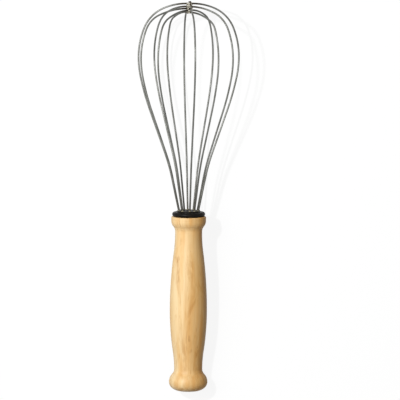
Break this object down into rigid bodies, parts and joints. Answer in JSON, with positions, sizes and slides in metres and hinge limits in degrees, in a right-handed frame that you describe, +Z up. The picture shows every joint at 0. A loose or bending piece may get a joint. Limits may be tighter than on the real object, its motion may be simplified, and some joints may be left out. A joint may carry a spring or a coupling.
{
  "type": "balloon whisk",
  "caption": "Kitchen balloon whisk: bent steel wire loops bound at the crown, seated in a black cap on a turned wooden handle.",
  "frame": {"origin": "on the ground, under the middle of the outer box of the whisk lying on its side", "axes": "+Z up from the ground; +Y along the whisk towards the balloon, the handle's axis climbing 5.3 degrees; +X to the right, seen from above with the balloon away"},
  "size_m": [0.078, 0.3052, 0.0772],
  "materials": {
    "wood": "satin-lacquered pale turned hardwood",
    "black_cap": "black moulded, slightly satin",
    "resin": "hardened amber resin, hidden in the handle",
    "steel_wire": "drawn stainless wire, satin grey",
    "binding_steel": "drawn stainless wire with a clipped, twisted end"
  },
  "bodies": {
    "root": {"handle": "wood", "wire_cap": "black_cap", "resin_plug": "resin", "wire_loop_1": "steel_wire", "wire_loop_2": "steel_wire", "wire_loop_3": "steel_wire", "wire_loop_4": "steel_wire", "wire_loop_5": "steel_wire", "binding_wire": "binding_steel"}
  },
  "joints": []
}
